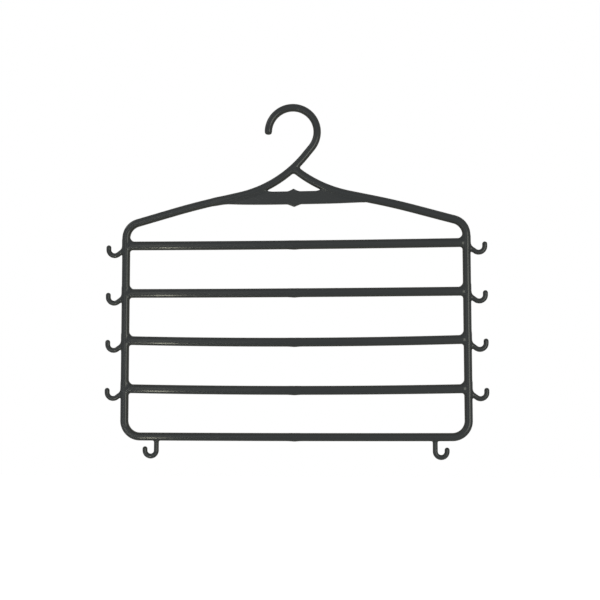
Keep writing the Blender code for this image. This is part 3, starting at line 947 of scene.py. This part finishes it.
def limb_object(shape, name, place, material):
    """The limb at a place as an object of its own, closed with a flat face at each cut."""
    copied = shape.copy()
    kept = limb_at(copied, place)
    others = [vert for vert in copied.verts if vert not in kept]
    bmesh.ops.delete(copied, geom=others, context="VERTS")
    rims = [edge for edge in copied.edges if edge.is_boundary]
    caps = bmesh.ops.holes_fill(copied, edges=rims)["faces"]
    for sharp in rims + caps:
        sharp.smooth = False
    for face in copied.faces:
        face.material_index = 0
    mesh = bpy.data.meshes.new(name)
    copied.to_mesh(mesh)
    copied.free()
    mesh.materials.append(material)
    obj = bpy.data.objects.new(name, mesh)
    bpy.context.scene.collection.objects.link(obj)
    return obj


def surroundings():
    """White for the camera, and a grey, even light on the hanger from all round."""
    world = bpy.data.worlds.new("studio")
    bpy.context.scene.world = world
    world.use_nodes = True
    nodes, links = world.node_tree.nodes, world.node_tree.links
    nodes.clear()
    seen = nodes.new("ShaderNodeLightPath")
    around = nodes.new("ShaderNodeBackground")
    around.inputs["Color"].default_value = SURROUNDINGS
    white = nodes.new("ShaderNodeBackground")
    white.inputs["Color"].default_value = WHITE
    mix = nodes.new("ShaderNodeMixShader")
    links.new(seen.outputs["Is Camera Ray"], mix.inputs[0])
    links.new(around.outputs[0], mix.inputs[1])
    links.new(white.outputs[0], mix.inputs[2])
    links.new(mix.outputs[0], nodes.new("ShaderNodeOutputWorld").inputs["Surface"])


def soft_light(name, place, size, power, colour, target=HANGER_MIDDLE, beam=180):
    """A lamp that faces the hanger's middle or another target; a small beam is a narrow one."""
    light = bpy.data.lights.new(name, "AREA")
    light.shape = "RECTANGLE"
    light.size, light.size_y = size
    light.energy = power
    light.color = colour
    light.spread = math.radians(beam)
    obj = bpy.data.objects.new(name, light)
    obj.location = place
    obj.rotation_euler = (Vector(target) - obj.location).to_track_quat("-Z", "Y").to_euler()
    bpy.context.scene.collection.objects.link(obj)


def lamps():
    """Softboxes for the sheen, panels for a soft fill, and two strips for the bars' glints."""
    soft_light("right_softbox", (0.78, -1.27, -0.27), (0.62, 0.80), 3.5, (0.98, 1.0, 0.85))
    soft_light("left_softbox", (-0.756, -1.21, -0.63), (0.4, 0.4), 0.5, (1.0, 1.0, 0.9))
    soft_light("left_high_softbox", (-1.02, -0.59, 0.75), (0.5, 0.5), 0.8, (1.0, 1.0, 0.95))
    soft_light("left_panel", (-0.42, -1.30, -0.20), (0.5, 0.8), 0.26, (1.0, 1.0, 0.9))
    soft_light("high_panel", (-0.12, -1.30, 0.25), (0.7, 0.4), 0.10, (1.0, 1.0, 0.92))
    # The low strip faces straight back, because a strip that leans draws the glints long
    straight_behind = (-0.236, 0, -0.16)
    soft_light(
        "low_strip", (-0.236, -0.40, -0.49), (0.03, 0.30), 0.048, (1.0, 0.99, 0.78),
        target=straight_behind, beam=64,
    )
    soft_light("front_strip", (-0.45, -1.42, -0.04), (0.045, 0.45), 0.055, (1.0, 0.99, 0.8))


def floor():
    """A pale matt floor that keeps the hanger's shadow and looks white to the camera."""
    mesh = bpy.data.meshes.new("floor")
    corners = [
        (side * FLOOR_REACH, end * FLOOR_REACH, FLOOR_HEIGHT)
        for side, end in ((-1, -1), (1, -1), (1, 1), (-1, 1))
    ]
    mesh.from_pydata(corners, [], [(0, 1, 2, 3)])
    material = bpy.data.materials.new("white_floor")
    material.use_nodes = True
    nodes, links = material.node_tree.nodes, material.node_tree.links
    nodes.clear()
    matt = nodes.new("ShaderNodeBsdfDiffuse")
    matt.inputs["Color"].default_value = FLOOR_COLOUR
    glow = nodes.new("ShaderNodeEmission")
    seen = nodes.new("ShaderNodeLightPath")
    share = nodes.new("ShaderNodeMath")
    share.operation = "MULTIPLY"
    share.inputs[1].default_value = FLOOR_GLOW
    links.new(seen.outputs["Is Camera Ray"], share.inputs[0])
    links.new(share.outputs[0], glow.inputs["Strength"])
    both = nodes.new("ShaderNodeAddShader")
    links.new(matt.outputs[0], both.inputs[0])
    links.new(glow.outputs[0], both.inputs[1])
    links.new(both.outputs[0], nodes.new("ShaderNodeOutputMaterial").inputs["Surface"])
    mesh.materials.append(material)
    obj = bpy.data.objects.new("floor", mesh)
    bpy.context.scene.collection.objects.link(obj)
    return obj


def camera():
    """Stands a little right of the hanger and below its middle, and looks slightly up."""
    data = bpy.data.cameras.new("camera")
    data.lens = LENS_MM
    data.sensor_width = SENSOR_MM
    obj = bpy.data.objects.new("camera", data)
    turn = Matrix.Rotation(CAMERA_TURN, 4, "Z")
    lift = Matrix.Rotation(CAMERA_LIFT, 4, "X")
    lean = Matrix.Rotation(CAMERA_LEAN, 4, "Y")
    upright = Matrix.Rotation(math.radians(90), 4, "X")
    obj.matrix_world = Matrix.Translation(CAMERA_PLACE) @ turn @ lift @ lean @ upright
    bpy.context.scene.collection.objects.link(obj)
    bpy.context.scene.camera = obj


plastic = satin_plastic()
shape = bmesh.new()
shape.from_mesh(moulding_mesh(plastic))
cut_into_limbs(shape)

frame_nodes = ["left_shoulder", "right_shoulder", "centre_plate", "left_upright", "right_upright"]
for number in range(1, 5):
    frame_nodes += [f"left_side_hook_{number}", f"right_side_hook_{number}"]
rail_nodes = ["bottom_rail", "left_bottom_hook", "right_bottom_hook"]

limbs = [
    ("closet_hook", ["closet_hook"], stood_up(Vector((-HOOK_SHIFT, 0)))),
    ("hanger_frame", frame_nodes, stood_up(upright_middle)),
    ("bottom_rail", rail_nodes, stood_up(Vector((0, rail_z)))),
]
for number, height in enumerate(bar_heights, 1):
    name = f"trouser_bar_{number}"
    limbs.append((name, [name], stood_up(Vector((0, height)))))

# The hanger is one rigid body, so every piece rides on the same one
for name, nodes, place in limbs:
    piece = limb_object(shape, name + "_moulding", place, plastic)
    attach(piece, next(iter(frame["bodies"])))
    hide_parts(*nodes)
shape.free()

surroundings()
lamps()
floor()
camera()
bpy.context.scene.view_settings.view_transform = "Standard"
